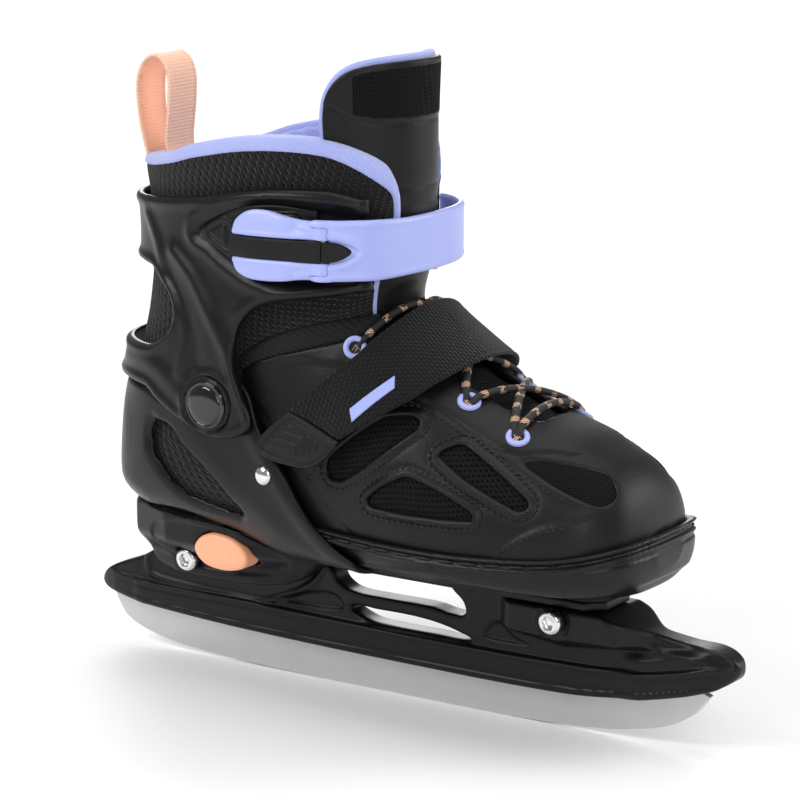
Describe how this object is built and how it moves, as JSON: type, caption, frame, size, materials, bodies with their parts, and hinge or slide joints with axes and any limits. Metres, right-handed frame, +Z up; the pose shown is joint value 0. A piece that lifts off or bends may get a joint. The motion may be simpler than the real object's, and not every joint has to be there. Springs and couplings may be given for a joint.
{
  "type": "ice skate",
  "caption": "Adjustable children's ice skate: steel blade in a moulded holder, hard heel shell, hinged cuff with a lever buckle, sliding toe half, laces and an instep strap.",
  "frame": {"origin": "on the ice, in the middle of the flat stretch of the blade's edge", "axes": "+X towards the toe, +Y to the medial side (this is a right-foot skate, the buckle is on -Y), +Z up"},
  "size_m": [0.302, 0.1029, 0.256],
  "materials": {
    "black_shell": "moulded satin",
    "black_leather": "fine grain synthetic leather",
    "black_mesh": "spacer mesh over foam",
    "black_webbing": "woven nylon",
    "black_rubber": "matt",
    "black_gloss": "polished",
    "lavender_plastic": "moulded satin",
    "peach_plastic": "moulded satin",
    "peach_webbing": "woven nylon",
    "blade_steel": "ground",
    "chrome": "polished",
    "zinc_steel": "zinc plated",
    "footbed": "brushed lining over foam"
  },
  "bodies": {
    "chassis": {"blade": "blade_steel", "blade_holder": "black_shell", "rear_bolt": "chrome", "front_bolt": "chrome", "rear_nut": "zinc_steel", "front_nut": "zinc_steel", "sole_base": "black_shell", "heel_shell": "black_shell", "liner_lower": "black_mesh", "insole": "footbed", "pivot_pin_lateral": "zinc_steel", "pivot_cap_lateral": "black_gloss", "side_rivet_lateral": "chrome", "pivot_pin_medial": "zinc_steel", "pivot_cap_medial": "black_gloss", "side_rivet_medial": "chrome"},
    "cuff_body": {"cuff": "black_shell", "liner_upper": "black_mesh", "tongue_upper": "black_leather", "pull_loop": "peach_webbing", "buckle_base": "black_shell", "base_rivet": "chrome", "strap_mount": "lavender_plastic", "mount_rivet": "chrome"},
    "toe_half": {"toe_shell": "black_shell", "size_rack": "black_shell", "upper_front": "black_leather", "tongue_lower": "black_mesh", "instep_strap": "black_webbing", "strap_tab": "black_rubber", "strap_anchor": "black_leather", "lace": "black_webbing", "eyelet_lateral_1": "lavender_plastic", "eyelet_lateral_2": "lavender_plastic", "eyelet_lateral_3": "lavender_plastic", "eyelet_lateral_4": "lavender_plastic", "eyelet_medial_1": "lavender_plastic", "eyelet_medial_2": "lavender_plastic", "eyelet_medial_3": "lavender_plastic", "eyelet_medial_4": "lavender_plastic"},
    "button_body": {"push_button": "peach_plastic", "button_spring": "zinc_steel"},
    "strap_body": {"buckle_strap": "lavender_plastic", "strap_inlay": "black_rubber", "lever_pin": "zinc_steel"},
    "lever_body": {"lever": "lavender_plastic", "lever_insert": "black_rubber"}
  },
  "joints": [
    {"name": "cuff_flex", "type": "hinge", "parent": "chassis", "child": "cuff_body", "pos_m": [-0.069, 0, 0.119], "axis": [0, 1, 0], "range_deg": [0, 10]},
    {"name": "size_slide", "type": "slide", "parent": "chassis", "child": "toe_half", "axis": [1, 0, 0], "range_m": [0, 0.02]},
    {"name": "button_press", "type": "slide", "parent": "chassis", "child": "button_body", "axis": [0, 1, 0], "range_m": [0, 0.003], "stiffness_N_per_m": 600, "springref_m": -0.002},
    {"name": "strap_swing", "type": "hinge", "parent": "cuff_body", "child": "strap_body", "pos_m": [-0.0165, 0.0432, 0.1855], "axis": [0, 0, 1], "range_deg": [0, 60]},
    {"name": "lever_open", "type": "hinge", "parent": "strap_body", "child": "lever_body", "pos_m": [-0.0155, -0.0422, 0.1855], "axis": [0, 0, 1], "range_deg": [0, 100]}
  ]
}
